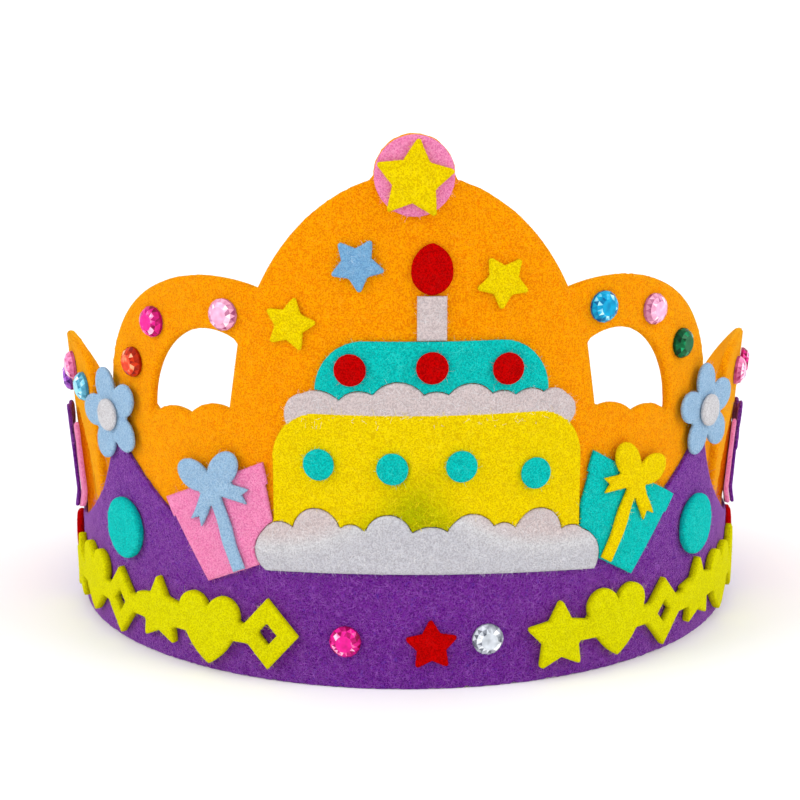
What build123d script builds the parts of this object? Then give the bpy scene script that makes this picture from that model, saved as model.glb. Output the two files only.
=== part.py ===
from build123d import *
import math
import os

os.makedirs("parts", exist_ok=True)

# A child's felt birthday crown: a die-cut panel rises from a headband, and felt pictures and
# acrylic gems are glued to both. Lengths are in millimetres. A place on the wall is given as
# (along, height): along runs round the wall from the middle of the front, positive to the
# viewer's right, and height is measured from the lower edge of the headband.

# Head opening, felt thicknesses and fits
head_diameter = 164.6
panel_felt = 2.2
band_felt = 1.0
trim_felt = 1.0
pad_felt = 2.0
patch_tape = 0.8
glue_line = 0.1
inlay_gap = 0.3
prism_reach = 16.0
closing_gap = 0.1

# Crown panel: dome, round finial, open loops beside the dome, lower side lobes that lean outwards
panel_bottom = 0.8
panel_foot = 24.0
dome_half_width = 36.2
dome_drop = 1.7
dome_ellipse = (42.0, 55.4)
finial_sink = 0.4
finial_rim = 0.15
loop_centre = (48.4, 62.0)
loop_ellipse = (36.7, 30.0)
loop_root = 34.0
loop_foot = 86.8
window_ellipse = (18.0, 20.2)
window_step = 0.6
window_drop = 2.0
window_inner_foot = (43.2, 62.1)
window_scallops = ((47.6, 62.9), (54.5, 59.9), (60.0, 60.9))
window_outer_foot = 58.0
window_inner_turn = 118.0
lobe_step = 20.0
lobe_lean = 4.5
lobe_top = 71.0
lobe_front = (15.0, 8.6)
lobe_back = (57.0, 46.0)
lobe_foot = 92.6
side_window_foot = (-6.6, 20.0)
side_window_shoulder = (-5.2, 42.0)
side_window_top = (2.0, 51.5)
side_window_back = 10.9

# Headband: a strap with three pointed peaks along the front, closed by an overlap behind
strap_height = 22.0
front_peak = 50.5
side_peak = (83.2, 52.0)
inner_swag = ((9.0, 37.6), (22.0, 31.2), (38.0, 29.8), (59.4, 35.4), (72.0, 43.6))
outer_swag = ((0.06, 23.0), (0.21, 13.0), (0.37, 8.0), (0.54, 4.0), (0.74, 1.1))
swag_end = 122.0
cut_margin = 1.0
strap_lead = 19.4
strap_bend = 40.0
strap_overlap = 22.0
patch_size = (20.0, 15.0)

# Cake: heights are measured up from the tray edge of the lower cream, tier by tier
cake_foot = 26.6
lower_tier_rise = 37.0
upper_tier_rise = 16.0
upper_tier_sides = (-21.8, 30.1)
lower_tier_sides = (-32.2, 39.0)
tier_corner = 11.0
tier_sink = 4.0
upper_dots = ((-13.8, 6.2), (3.8, 5.6), (20.4, 6.2))
lower_dots = ((-21.1, 11.6), (-4.8, 12.1), (10.4, 11.7), (27.4, 14.2))
dot_radius = 3.5
candle_middle = 3.8
candle_size = (6.4, 9.6)
flame_size = (9.0, 11.2)
flame_belly = 0.45
flame_flank = (0.8, 0.76)
flame_tip = 1.6

# Gifts and their bows
gift_lid_width = 29.5
gift_lid_taper = 0.85
gift_lid_height = 4.8
gift_lid_step = 0.6
gift_bottom_width = 20.0
gift_height = 21.4
side_gift_step = 16.0
bow_knot_radius = 2.4
bow_knot_drop = 0.8
bow_loop_size = (9.8, 6.8)
bow_loop_reach = 5.2
bow_loop_spread = (48.0, 63.0)
bow_tail_length = 10.0
bow_tail_width = 3.4
bow_tail_notch = 1.6
bow_tail_spread = (46.0, 58.0)
bow_ribbon_width = 3.1

# Stars, flowers, round pads and gems
star_waist = 0.53
star_rounding = 0.5
finial_disc_radius = 8.6
finial_star_radius = 9.2
finial_star_drop = 0.8
wall_star_radius = 6.5
petal_size = (9.0, 7.6)
petal_reach = 6.9
flower_eye_radius = 3.8
pad_radius = 7.3
side_pad_radius = 5.2
gem_radius = 3.6
gem_table = 2.2
gem_girdle = 0.6
gem_height = 2.2
gem_sides = 12
gem_share = 0.46
low_gem_share = 0.35

# Garlands of hearts, stars and diamonds, each cut as one strip
garland_height = 11.0
garland_sway = 0.6
garland_shape = (16.2, 16.6)
garland_star = 0.54
garland_diamond = 0.92
garland_bridge = 4.4
garland_count = 6
garland_window = 0.34
heart_notch = 0.26
heart_peak = (0.29, 0.5)
heart_shoulder = (0.5, 0.14)
heart_flank = (0.34, -0.2)

# Radii of the layers, from the head outwards
panel_radius = head_diameter / 2
panel_face = panel_radius + panel_felt
band_radius = panel_face + glue_line
band_face = band_radius + band_felt
low_trim = band_radius
high_trim = band_face + glue_line
gift_face = high_trim + trim_felt + glue_line
pad_face = high_trim + pad_felt
dome_base = loop_centre[1] - dome_drop
window_centre = (loop_centre[0] + window_step, loop_centre[1] - window_drop)
lobe_peak = loop_centre[0] + loop_ellipse[0] + lobe_step
lobe_middle = lobe_peak + (lobe_back[0] - lobe_front[0]) / 2
finial_height = dome_base + dome_ellipse[1] - finial_sink
crown_top = finial_height + finial_disc_radius + finial_rim
ceiling = crown_top + panel_felt
prism_near = panel_radius - prism_reach
prism_far = pad_face + prism_reach


def wall_plane(turn, radius, height=0.0, lean=0.0):
    """Plane that touches the wall at a turn in radians: x runs along the wall, y upwards. A wall
    that leans does so by some degrees from the panel's foot."""
    outward = Vector(math.sin(turn), -math.cos(turn), 0)
    along = Vector(math.cos(turn), math.sin(turn), 0)
    slope = math.tan(math.radians(lean))
    origin = outward * (radius + slope * (height - panel_foot)) + Vector(0, 0, height)
    return Plane(origin=origin, x_dir=along, z_dir=outward - Vector(0, 0, slope))


def place(spot, radius, lean=0.0):
    """Plane at a spot (along, height) of the layer with the given radius."""
    return wall_plane(spot[0] / radius, radius, spot[1], lean)


def radial_prism(outline, radius, middle=0.0, mode=Mode.ADD):
    """Loft an outline of the unrolled wall so that all its sides run straight to the axis."""
    sections = []
    for distance in (prism_near, prism_far):
        def at(along, height):
            return (distance * math.tan((along - middle) / radius), height)
        with BuildSketch(wall_plane(middle / radius, distance)) as section:
            with BuildLine():
                outline(at)
            make_face()
        sections.append(section.sketch.face())
    loft(sections=sections, ruled=True, mode=mode)


def keep_layer(radius, felt, lean=0.0):
    """Trim the part to one layer of felt, bent to the wall, upright or leaning from the panel's foot."""
    inner = [(radius, 0), (radius, ceiling)]
    if lean:
        spread = (ceiling - panel_foot) * math.tan(math.radians(lean))
        inner[1:] = [(radius, panel_foot), (radius + spread, ceiling)]
    outer = [(across + felt, height) for across, height in reversed(inner)]
    with BuildSketch(Plane.XZ) as layer:
        with BuildLine():
            Polyline(*inner, *outer, close=True)
        make_face()
    revolve(layer.sketch, axis=Axis.Z, mode=Mode.INTERSECT)


def push_through(outline):
    """Carry a small outline on the wall through every layer of felt."""
    extrude(outline.sketch, amount=prism_reach, both=True)


def finish(piece, label):
    """Name a finished piece and write it."""
    piece.part.label = label
    export_step(piece.part, f"parts/{label}.step")


def ellipse_spot(centre, half_axes, degrees):
    """Spot on an ellipse at an angle from its right-hand end."""
    angle = math.radians(degrees)
    return (centre[0] + half_axes[0] * math.cos(angle), centre[1] + half_axes[1] * math.sin(angle))


def ellipse_height(along, centre, half_axes):
    """Height of an ellipse's upper half at a place along the wall."""
    return centre[1] + half_axes[1] * math.sqrt(1 - ((along - centre[0]) / half_axes[0]) ** 2)


def scallops(at, spots):
    """Draw a run of lobes: every second spot is a valley, with a lobe's peak between."""
    for start, peak, end in zip(spots[:-2:2], spots[1:-1:2], spots[2::2]):
        ThreePointArc(at(*start), at(*peak), at(*end))


def sided(outline, side):
    """The outline on one side of the front: 1 is the viewer's right, -1 the left."""
    return lambda at: outline(lambda along, height: at(side * along, height))


def star_face(radius, tilt):
    """Sketch a five-pointed star with rounded points, its first point at tilt degrees."""
    spots = []
    for point in range(10):
        angle = math.radians(tilt + 36 * point)
        reach = radius * (star_waist if point % 2 else 1)
        spots.append((reach * math.cos(angle), reach * math.sin(angle)))
    with BuildSketch(mode=Mode.PRIVATE) as star:
        with BuildLine():
            Polyline(*spots, close=True)
        make_face()
        fillet(star.vertices().sort_by_distance((0, 0))[5:], star_rounding)
    return star.sketch


# Outlines of the crown panel
def dome_outline(at):
    """Dome in the middle of the front, down to the panel's lower edge."""
    centre = (0.0, dome_base)
    steps = [dome_half_width * step / 4 for step in range(-4, 5)]
    edge = [at(along, ellipse_height(along, centre, dome_ellipse)) for along in steps]
    Spline(*edge)
    Polyline(edge[-1], at(dome_half_width, panel_bottom), at(-dome_half_width, panel_bottom), edge[0])


def loop_outline(at):
    """Loop beside the dome, before its window is cut."""
    root_turn = math.degrees(math.acos((loop_root - loop_centre[0]) / loop_ellipse[0]))
    edge = [at(*ellipse_spot(loop_centre, loop_ellipse, root_turn * step / 6)) for step in range(7)]
    Spline(*edge)
    base = (at(loop_root, panel_bottom), at(loop_foot, panel_bottom), at(loop_foot, panel_foot))
    Polyline(edge[-1], *base, edge[0])


def window_outline(at):
    """Window of a loop: an arch over two scallops."""
    foot_turn = -math.degrees(math.asin((window_centre[1] - window_outer_foot) / window_ellipse[1]))
    turns = [foot_turn + (window_inner_turn - foot_turn) * step / 6 for step in range(7)]
    arch = [at(*ellipse_spot(window_centre, window_ellipse, turn)) for turn in turns]
    peak_one, valley, peak_two = window_scallops
    foot = ellipse_spot(window_centre, window_ellipse, foot_turn)
    Spline(*arch)
    Line(arch[-1], at(*window_inner_foot))
    scallops(at, (window_inner_foot, peak_one, valley, peak_two, foot))


def lobe_outline(at):
    """Lower lobe at the side: it slopes away gently behind its peak."""
    spots = []
    for turn in range(0, 181, 30):
        half_axes = lobe_back if turn < 90 else lobe_front
        spots.append(ellipse_spot((lobe_peak, lobe_top - half_axes[1]), half_axes, turn))
    edge = [at(*spot) for spot in spots]
    back = lobe_peak + lobe_back[0]
    Spline(*edge)
    base = (at(lobe_foot, panel_foot), at(lobe_foot, panel_bottom), at(back, panel_bottom))
    Polyline(edge[-1], *base, edge[0])


def side_window_outline(at):
    """Narrow window in a side lobe, hidden behind the gift there."""
    foot, shoulder, top = (
        at(lobe_peak + shift, height)
        for shift, height in (side_window_foot, side_window_shoulder, side_window_top)
    )
    back_top = at(lobe_peak + side_window_back, side_window_top[1])
    back_foot = at(lobe_peak + side_window_back, side_window_foot[1])
    ThreePointArc(foot, shoulder, top)
    Polyline(top, back_top, back_foot, foot)


def foot_outline(at):
    """Strip along the panel's lower edge that joins the loops and lobes."""
    Polyline(
        at(loop_root, panel_bottom),
        at(lobe_peak, panel_bottom),
        at(lobe_peak, panel_foot),
        at(loop_root, panel_foot),
        close=True,
    )


# Outlines of the headband
def plan_spot(turn, radius):
    """Spot in plan at a turn in degrees round from the front."""
    return (radius * math.sin(math.radians(turn)), -radius * math.cos(math.radians(turn)))


def plan_arc(start, end, radius):
    """Arc of the plan about the crown's axis, between two turns from the front."""
    CenterArc((0, 0), radius, start - 90, end - start)


def swag_cut(at):
    """Waste above the band's edge, from the front peak to a side peak."""
    Spline(at(0, front_peak), *[at(*spot) for spot in inner_swag], at(*side_peak))
    Polyline(
        at(*side_peak),
        at(side_peak[0] + cut_margin, ceiling),
        at(-cut_margin, ceiling),
        at(0, front_peak),
    )


def shoulder_cut(at):
    """Waste above the band's edge, from a side peak down to the strap."""
    run = swag_end - side_peak[0]
    edge = [at(side_peak[0] + share * run, strap_height + rise) for share, rise in outer_swag]
    Spline(at(*side_peak), *edge, at(swag_end, strap_height))
    Polyline(
        at(swag_end, strap_height),
        at(swag_end + cut_margin, strap_height),
        at(swag_end + cut_margin, ceiling),
        at(side_peak[0] - cut_margin, ceiling),
        at(*side_peak),
    )


def band_front(inner, outer):
    """Add the front of the band with its three peaks, between two radii."""
    front_turn = math.degrees(swag_end / band_face)
    with BuildSketch() as front_plan:
        with BuildLine():
            plan_arc(-front_turn, front_turn, outer)
            plan_arc(-front_turn, front_turn, inner)
            for turn in (-front_turn, front_turn):
                Line(plan_spot(turn, inner), plan_spot(turn, outer))
        make_face()
    extrude(front_plan.sketch, amount=side_peak[1])
    for side in (1, -1):
        radial_prism(sided(swag_cut, side), band_face, side * side_peak[0] / 2, mode=Mode.SUBTRACT)
        shoulder_middle = side * (side_peak[0] + swag_end) / 2
        radial_prism(sided(shoulder_cut, side), band_face, shoulder_middle, mode=Mode.SUBTRACT)


# The side lobes lean outwards, but the band holds their feet upright
with BuildPart() as band_room:
    band_front(panel_face, pad_face)

with BuildPart() as side_lobes:
    for side in (1, -1):
        radial_prism(sided(lobe_outline, side), panel_face, side * lobe_middle)
        radial_prism(sided(side_window_outline, side), panel_face, side * lobe_middle, mode=Mode.SUBTRACT)
    keep_layer(panel_radius, panel_felt, lobe_lean)
    add(band_room.part, mode=Mode.SUBTRACT)

with BuildPart() as crown_panel:
    radial_prism(dome_outline, panel_face)
    for side in (1, -1):
        radial_prism(sided(loop_outline, side), panel_face, side * loop_centre[0])
        radial_prism(sided(foot_outline, side), panel_face, side * loop_foot)
    with BuildSketch(wall_plane(0, panel_radius, finial_height)) as finial:
        Circle(finial_disc_radius + finial_rim)
    push_through(finial)
    for side in (1, -1):
        radial_prism(sided(window_outline, side), panel_face, side * loop_centre[0], mode=Mode.SUBTRACT)
        radial_prism(sided(side_window_outline, side), panel_face, side * lobe_middle, mode=Mode.SUBTRACT)
    keep_layer(panel_radius, panel_felt)
    add(side_lobes.part)
finish(crown_panel, "crown_panel")


# Headband: the strap's ends overlap behind, with the hook and loop patches between them
strap_middle = band_radius + band_felt / 2
overlap_rise = band_felt + 2 * patch_tape + 2 * glue_line + closing_gap
outer_strap = strap_middle + overlap_rise
bend_run = math.sqrt(overlap_rise * (outer_strap + strap_middle - 2 * strap_bend))
bend_turn = math.degrees(math.atan2(bend_run, strap_middle - strap_bend))
back = 180.0
overlap_turn = math.degrees(strap_overlap / strap_middle)
strap_leaves = back - overlap_turn / 2 - bend_turn - math.degrees(strap_lead / outer_strap)


with BuildPart() as headband:
    band_front(band_radius, band_face)
    leave_turn = math.radians(strap_leaves)
    bend_start = Vector(*plan_spot(strap_leaves, strap_middle))
    bend_along = Vector(math.cos(leave_turn), math.sin(leave_turn))
    with BuildSketch():
        with BuildLine():
            plan_arc(-back - overlap_turn / 2, strap_leaves, strap_middle)
            run = Line(bend_start, bend_start + bend_along * bend_run)
            JernArc(run @ 1, bend_along, strap_bend, bend_turn)
            plan_arc(strap_leaves + bend_turn, back + overlap_turn / 2, outer_strap)
        trace(line_width=band_felt)
    extrude(amount=strap_height)
finish(headband, "headband")

# Hook and loop patches on the facing sides of the strap's two ends
patch_middle = strap_height / 2
for label, radius in (
    ("hook_patch", band_face + glue_line),
    ("loop_patch", band_face + glue_line + patch_tape + closing_gap),
):
    with BuildPart() as patch:
        with BuildSketch(wall_plane(math.pi, radius, patch_middle)) as patch_face:
            RectangleRounded(*patch_size, patch_tape)
        push_through(patch_face)
        keep_layer(radius, patch_tape)
    finish(patch, label)


# Cake, cut to fit edge to edge: each tier's lower edge follows the cream below it
upper_cream_edge = (
    (-28.2, -3.2), (-28.3, 1.6), (-24.8, 3.9),
    (-20.6, 4.7), (-16.4, 2.7),
    (-12.5, 4.8), (-9.0, 4.0),
    (-3.0, 6.9), (2.1, 4.1),
    (4.8, 4.8), (7.5, 4.1),
    (12.6, 6.5), (17.2, 4.1),
    (19.6, 4.7), (22.4, 3.5),
    (25.8, 4.8), (29.0, 3.8),
    (31.8, 4.5), (34.9, 2.8),
    (37.0, -0.4), (35.7, -3.4),
)
upper_cream_sag = (4.0, -2.7)
lower_cream_edge = (
    (-33.6, 0.0), (-36.3, 4.6), (-34.6, 9.0),
    (-30.6, 11.3), (-27.4, 10.2),
    (-22.0, 15.0), (-16.6, 10.6),
    (-14.1, 11.8), (-10.7, 10.0),
    (-5.3, 14.3), (-0.6, 10.1),
    (3.7, 11.6), (7.4, 10.4),
    (13.3, 14.0), (18.0, 10.9),
    (20.3, 11.6), (23.2, 10.0),
    (29.6, 14.2), (34.3, 8.8),
    (37.4, 9.4), (40.2, 8.0),
    (43.6, 4.4), (42.8, -1.4),
)
lower_cream_sag = (4.0, 0.8)
lower_tier_top = cake_foot + lower_tier_rise
upper_tier_top = lower_tier_top + upper_tier_rise


def cream_outline(edge, sag, level, shift=(0.0, 0.0)):
    """Outline of a cream: lobes above and a slightly arched lower edge, set at a level."""
    moved = [(along + shift[0], level + rise + shift[1]) for along, rise in (*edge, sag)]

    def outline(at):
        scallops(at, moved[:-1])
        ThreePointArc(at(*moved[-2]), at(*moved[-1]), at(*moved[0]))
    return outline


def clear_cream(cream, radius):
    """Cut room for a cream from the part, with a gap all round it."""
    for shift in ((inlay_gap, 0), (-inlay_gap, 0), (0, inlay_gap), (0, -inlay_gap)):
        radial_prism(cream_outline(*cream, shift), radius, cake_middle, mode=Mode.SUBTRACT)


def tier_outline(sides, top, foot, gap=0.0):
    """Outline of a tier: straight sides, a flat top and rounded upper corners."""
    left = sides[0] - gap
    right = sides[1] + gap
    top = top + gap
    corner = tier_corner + gap
    bulge = corner * (1 - math.sqrt(0.5))

    def outline(at):
        left_end = at(left, top - corner)
        right_end = at(right, top - corner)
        left_top = at(left + corner, top)
        right_top = at(right - corner, top)
        Line(at(left, foot), left_end)
        ThreePointArc(left_end, at(left + bulge, top - bulge), left_top)
        Line(left_top, right_top)
        ThreePointArc(right_top, at(right - bulge, top - bulge), right_end)
        Polyline(right_end, at(right, foot), at(left, foot))
    return outline


upper_cream_shape = (upper_cream_edge, upper_cream_sag, lower_tier_top)
lower_cream_shape = (lower_cream_edge, lower_cream_sag, cake_foot)
upper_foot = lower_tier_top + upper_cream_edge[0][1] + tier_sink
lower_foot = cake_foot + tier_sink
cake_middle = candle_middle
lower_tier_shape = tier_outline(lower_tier_sides, lower_tier_top, lower_foot)
lower_tier_room = tier_outline(lower_tier_sides, lower_tier_top, lower_foot, inlay_gap)

with BuildPart() as upper_tier:
    radial_prism(tier_outline(upper_tier_sides, upper_tier_top, upper_foot), low_trim, cake_middle)
    clear_cream(upper_cream_shape, low_trim)
    keep_layer(low_trim, trim_felt)
finish(upper_tier, "upper_tier")

with BuildPart() as upper_cream:
    radial_prism(cream_outline(*upper_cream_shape), low_trim, cake_middle)
    radial_prism(lower_tier_room, high_trim, cake_middle, mode=Mode.SUBTRACT)
    keep_layer(low_trim, trim_felt)
finish(upper_cream, "upper_cream")

with BuildPart() as lower_tier:
    radial_prism(lower_tier_shape, high_trim, cake_middle)
    clear_cream(lower_cream_shape, high_trim)
    keep_layer(high_trim, trim_felt)
finish(lower_tier, "lower_tier")

with BuildPart() as lower_cream:
    radial_prism(cream_outline(*lower_cream_shape), high_trim, cake_middle)
    keep_layer(high_trim, trim_felt)
finish(lower_cream, "lower_cream")

for tier, dots, top, radius in (
    ("upper", upper_dots, upper_tier_top, low_trim),
    ("lower", lower_dots, lower_tier_top, high_trim),
):
    dot_base = radius + trim_felt + glue_line
    for number, (along, drop) in enumerate(dots, 1):
        with BuildPart() as dot:
            with BuildSketch(place((along, top - drop), radius)) as dot_face:
                Circle(dot_radius)
            push_through(dot_face)
            keep_layer(dot_base, trim_felt)
        finish(dot, f"{tier}_dot_{number}")

candle_foot = upper_tier_top + inlay_gap
with BuildPart() as candle:
    with BuildSketch(place((candle_middle, candle_foot), low_trim)) as candle_face:
        Rectangle(*candle_size, align=(Align.CENTER, Align.MIN))
    push_through(candle_face)
    keep_layer(low_trim, trim_felt)
finish(candle, "candle")

flame_foot = candle_foot + candle_size[1] + inlay_gap
flame_half = flame_size[0] / 2
flame_waist = flame_size[1] * flame_belly
flame_jowl = (flame_half * math.sqrt(0.5), flame_waist * (1 - math.sqrt(0.5)))
flame_cheek = (flame_flank[0] * flame_half, flame_flank[1] * flame_size[1])
with BuildPart() as flame:
    with BuildSketch(place((candle_middle, flame_foot), low_trim)) as flame_face:
        with BuildLine():
            ThreePointArc((0, 0), flame_jowl, (flame_half, flame_waist))
            ThreePointArc((flame_half, flame_waist), flame_cheek, (0, flame_size[1]))
            mirror(about=Plane.YZ)
        make_face()
        fillet(flame_face.vertices().sort_by(Axis.Z)[-1:], flame_tip)
    push_through(flame_face)
    keep_layer(low_trim, trim_felt)
finish(flame, "flame")


# Gifts: a tapered box with a shallow lid, and a bow whose ribbon runs down the box
def gift_face_sketch():
    """Gift box with its lid, about its own middle."""
    lid = gift_lid_width / 2
    lid_foot = lid - gift_lid_taper
    body = lid_foot - gift_lid_step
    foot = gift_bottom_width / 2
    top = gift_height / 2
    seam = top - gift_lid_height
    half = ((0, top), (lid, top), (lid_foot, seam), (body, seam), (foot, -top), (0, -top))
    with BuildSketch(mode=Mode.PRIVATE) as box:
        with BuildLine():
            Polyline(*half)
            mirror(about=Plane.YZ)
        make_face()
    return box.sketch


def bow_face_sketch(inner_side):
    """Bow with its ribbon: on the inner side, nearer the cake, it is spread wider."""
    knot = gift_height / 2 - bow_knot_drop
    half = bow_tail_width / 2
    length = bow_tail_length
    with BuildSketch(mode=Mode.PRIVATE) as bow:
        with Locations((0, knot)):
            Circle(bow_knot_radius)
        for side in (1, -1):
            spread = 1 if side == inner_side else 0
            loop_turn = 90 - side * bow_loop_spread[spread]
            tail_turn = side * bow_tail_spread[spread] - 90
            reach = Vector(bow_loop_reach, 0).rotate(Axis.Z, loop_turn)
            with Locations((reach.X, knot + reach.Y)):
                Ellipse(bow_loop_size[0] / 2, bow_loop_size[1] / 2, rotation=loop_turn)
            with Locations(Location((0, knot), tail_turn)):
                Polygon(
                    (0, half), (0, -half), (length, -half), (length - bow_tail_notch, 0), (length, half),
                    align=None,
                )
        with Locations((0, knot)):
            Rectangle(
                bow_ribbon_width, knot + gift_height / 2 - inlay_gap, align=(Align.CENTER, Align.MAX),
            )
    return bow.sketch


side_gift = lobe_peak + side_gift_step
gifts = (
    ("gift_left", -44.0, 24.6, 23.0, 0.0),
    ("gift_right", 50.4, 25.2, -29.0, 0.0),
    ("side_gift_left", -side_gift, 23.0, 15.0, lobe_lean),
    ("side_gift_right", side_gift, 23.0, -15.0, lobe_lean),
)
gift_outline = gift_face_sketch()
for name, along, rise, tilt, lean in gifts:
    spot = (along, garland_height + rise)
    with BuildPart() as gift_box:
        with BuildSketch(place(spot, high_trim, lean)) as box_face:
            add(gift_outline, rotation=tilt)
        push_through(box_face)
        radial_prism(lower_tier_room, high_trim, cake_middle, mode=Mode.SUBTRACT)
        clear_cream(lower_cream_shape, high_trim)
        keep_layer(high_trim, trim_felt, lean)
    finish(gift_box, f"{name}_box")
    with BuildPart() as gift_bow:
        with BuildSketch(place(spot, high_trim, lean)) as bow_face:
            add(bow_face_sketch(math.copysign(1, tilt)), rotation=tilt)
        push_through(bow_face)
        keep_layer(gift_face, trim_felt, lean)
    finish(gift_bow, f"{name}_bow")

# Finial disc, and the felt stars on the finial, the dome and the band
with BuildPart() as finial_disc:
    with BuildSketch(place((0, finial_height), low_trim)) as disc_face:
        Circle(finial_disc_radius)
    push_through(disc_face)
    keep_layer(low_trim, trim_felt)
finish(finial_disc, "finial_disc")

finial_star_base = low_trim + trim_felt + glue_line
stars = (
    ("finial_star", (0.0, finial_height - finial_star_drop), finial_star_radius, 84.5, finial_star_base),
    ("blue_star", (-12.3, 96.3), wall_star_radius, 59.0, low_trim),
    ("yellow_star_left", (-27.4, 82.8), wall_star_radius, 78.0, low_trim),
    ("yellow_star_right", (19.4, 92.4), wall_star_radius, 50.0, low_trim),
    ("band_star", (3.9, 10.6), wall_star_radius, 91.5, high_trim),
)
for name, spot, radius, tilt, base in stars:
    with BuildPart() as star:
        with BuildSketch(place(spot, base)) as star_outline:
            add(star_face(radius, tilt))
        push_through(star_outline)
        keep_layer(base, trim_felt)
    finish(star, name)

# Flowers over the side peaks, each a stiff flat cut with a round eye, standing off the wall behind
flowers = (
    ("left", -50.0, (-8.0, 55.8), 36.0),
    ("right", 48.0, (10.4, 56.4), 23.0),
)
for name, turn, spot, tilt in flowers:
    with BuildPart() as flower:
        with BuildSketch(wall_plane(math.radians(turn), high_trim)):
            with Locations(spot):
                Circle(flower_eye_radius)
                with PolarLocations(petal_reach, 5, start_angle=tilt):
                    Ellipse(petal_size[0] / 2, petal_size[1] / 2)
        extrude(amount=trim_felt)
    finish(flower, f"flower_{name}")
    with BuildPart() as flower_eye:
        with BuildSketch(wall_plane(math.radians(turn), gift_face)):
            with Locations(spot):
                Circle(flower_eye_radius)
        extrude(amount=trim_felt)
    finish(flower_eye, f"flower_eye_{name}")

# Thick round pads on the band
pads = (
    ("pad_left", -77.8, 17.9, pad_radius),
    ("pad_right", 79.2, 17.7, pad_radius),
    ("side_pad_left", -129.0, 3.6, side_pad_radius),
    ("side_pad_right", 129.0, 3.6, side_pad_radius),
)
for name, along, rise, radius in pads:
    spot = (along, garland_height + rise)
    with BuildPart() as pad:
        with BuildSketch(place(spot, high_trim)) as pad_outline:
            Circle(radius)
        push_through(pad_outline)
        keep_layer(high_trim, pad_felt)
    finish(pad, name)


# Garlands: hearts, stars and diamonds in a row, joined by a narrow bridge
def heart_face(width, height):
    """Heart with its point downwards."""
    peak, shoulder, flank = (
        (share[0] * width, share[1] * height) for share in (heart_peak, heart_shoulder, heart_flank)
    )
    with BuildSketch(mode=Mode.PRIVATE) as heart:
        with BuildLine():
            ThreePointArc((0, heart_notch * height), peak, shoulder)
            ThreePointArc(shoulder, flank, (0, -height / 2))
            mirror(about=Plane.YZ)
        make_face()
    return heart.sketch


def diamond_face(width, height):
    """Diamond with a small diamond cut out of its middle."""
    with BuildSketch(mode=Mode.PRIVATE) as diamond:
        for size, mode in ((1.0, Mode.ADD), (garland_window, Mode.SUBTRACT)):
            half = size * width / 2
            rise = size * height / 2
            Polygon((half, 0), (0, rise), (-half, 0), (0, -rise), align=None, mode=mode)
    return diamond.sketch


garland_shapes = (
    star_face(garland_star * garland_shape[1], 90),
    heart_face(*garland_shape),
    diamond_face(garland_diamond * garland_shape[0], garland_shape[1]),
)
garlands = (
    ("garland_left", -110.8, -33.4),
    ("garland_right", 34.0, 111.4),
)
for name, first, last in garlands:
    pitch = (last - first) / (garland_count - 1)
    with BuildPart() as garland:
        for number in range(garland_count):
            sway = garland_sway if number % 2 else -garland_sway
            spot = (first + pitch * number, garland_height + sway)
            with BuildSketch(place(spot, high_trim)) as shape_face:
                add(garland_shapes[number % 3])
            push_through(shape_face)
        for number in range(garland_count - 1):
            spot = (first + pitch * (number + 0.5), garland_height)
            with BuildSketch(place(spot, high_trim)) as bridge_face:
                Rectangle(pitch - garland_shape[0] / 2, garland_bridge)
            push_through(bridge_face)
        keep_layer(high_trim, pad_felt)
    finish(garland, name)

# Flat-backed faceted gems: those of a loop sit between its window and its edge, at a turn from the
# loop's outer side; those of a side lobe hang below its peak and lean with it
def loop_spot(side, turn, share=gem_share):
    """Spot between a loop's window and its edge, at a share of the way from the window."""
    edge = ellipse_spot(loop_centre, loop_ellipse, turn)
    window = ellipse_spot(window_centre, window_ellipse, turn)
    along, height = (share * outer + (1 - share) * inner for outer, inner in zip(edge, window))
    return (side * along, height)


def lobe_spot(side, shift, drop):
    """Spot below the peak of a side lobe."""
    return (side * (lobe_peak + shift), lobe_top - drop)


gems = (
    ("loop_gem_left_1", loop_spot(-1, 101.5, low_gem_share), low_trim, 0.0),
    ("loop_gem_left_2", loop_spot(-1, 50.8), low_trim, 0.0),
    ("loop_gem_left_3", loop_spot(-1, 20.4), low_trim, 0.0),
    ("loop_gem_right_1", loop_spot(1, 99.4), low_trim, 0.0),
    ("loop_gem_right_2", loop_spot(1, 64.6), low_trim, 0.0),
    ("loop_gem_right_3", loop_spot(1, 31.4), low_trim, 0.0),
    ("side_gem_left_1", lobe_spot(-1, -9.1, 11.0), low_trim, lobe_lean),
    ("side_gem_left_2", lobe_spot(-1, 0.4, 7.5), low_trim, lobe_lean),
    ("side_gem_left_3", lobe_spot(-1, 10.9, 12.5), low_trim, lobe_lean),
    ("side_gem_right_1", lobe_spot(1, -2.1, 9.0), low_trim, lobe_lean),
    ("side_gem_right_2", lobe_spot(1, 6.9, 8.5), low_trim, lobe_lean),
    ("side_gem_right_3", lobe_spot(1, 15.9, 12.5), low_trim, lobe_lean),
    ("band_gem_left", (-15.4, 11.2), high_trim, 0.0),
    ("band_gem_right", (16.7, 11.5), high_trim, 0.0),
)
gem_step_in = (gem_radius - gem_table) * math.cos(math.pi / gem_sides)
gem_slope = math.degrees(math.atan2(gem_step_in, gem_height - gem_girdle))
for name, spot, radius, lean in gems:
    gem_plane = place(spot, radius, lean)
    with BuildPart() as gem:
        with BuildSketch(gem_plane):
            RegularPolygon(gem_radius, gem_sides)
        extrude(amount=gem_girdle)
        with BuildSketch(gem_plane.offset(gem_girdle)):
            RegularPolygon(gem_radius, gem_sides)
        extrude(amount=gem_height - gem_girdle, taper=gem_slope)
    finish(gem, name)
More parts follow.
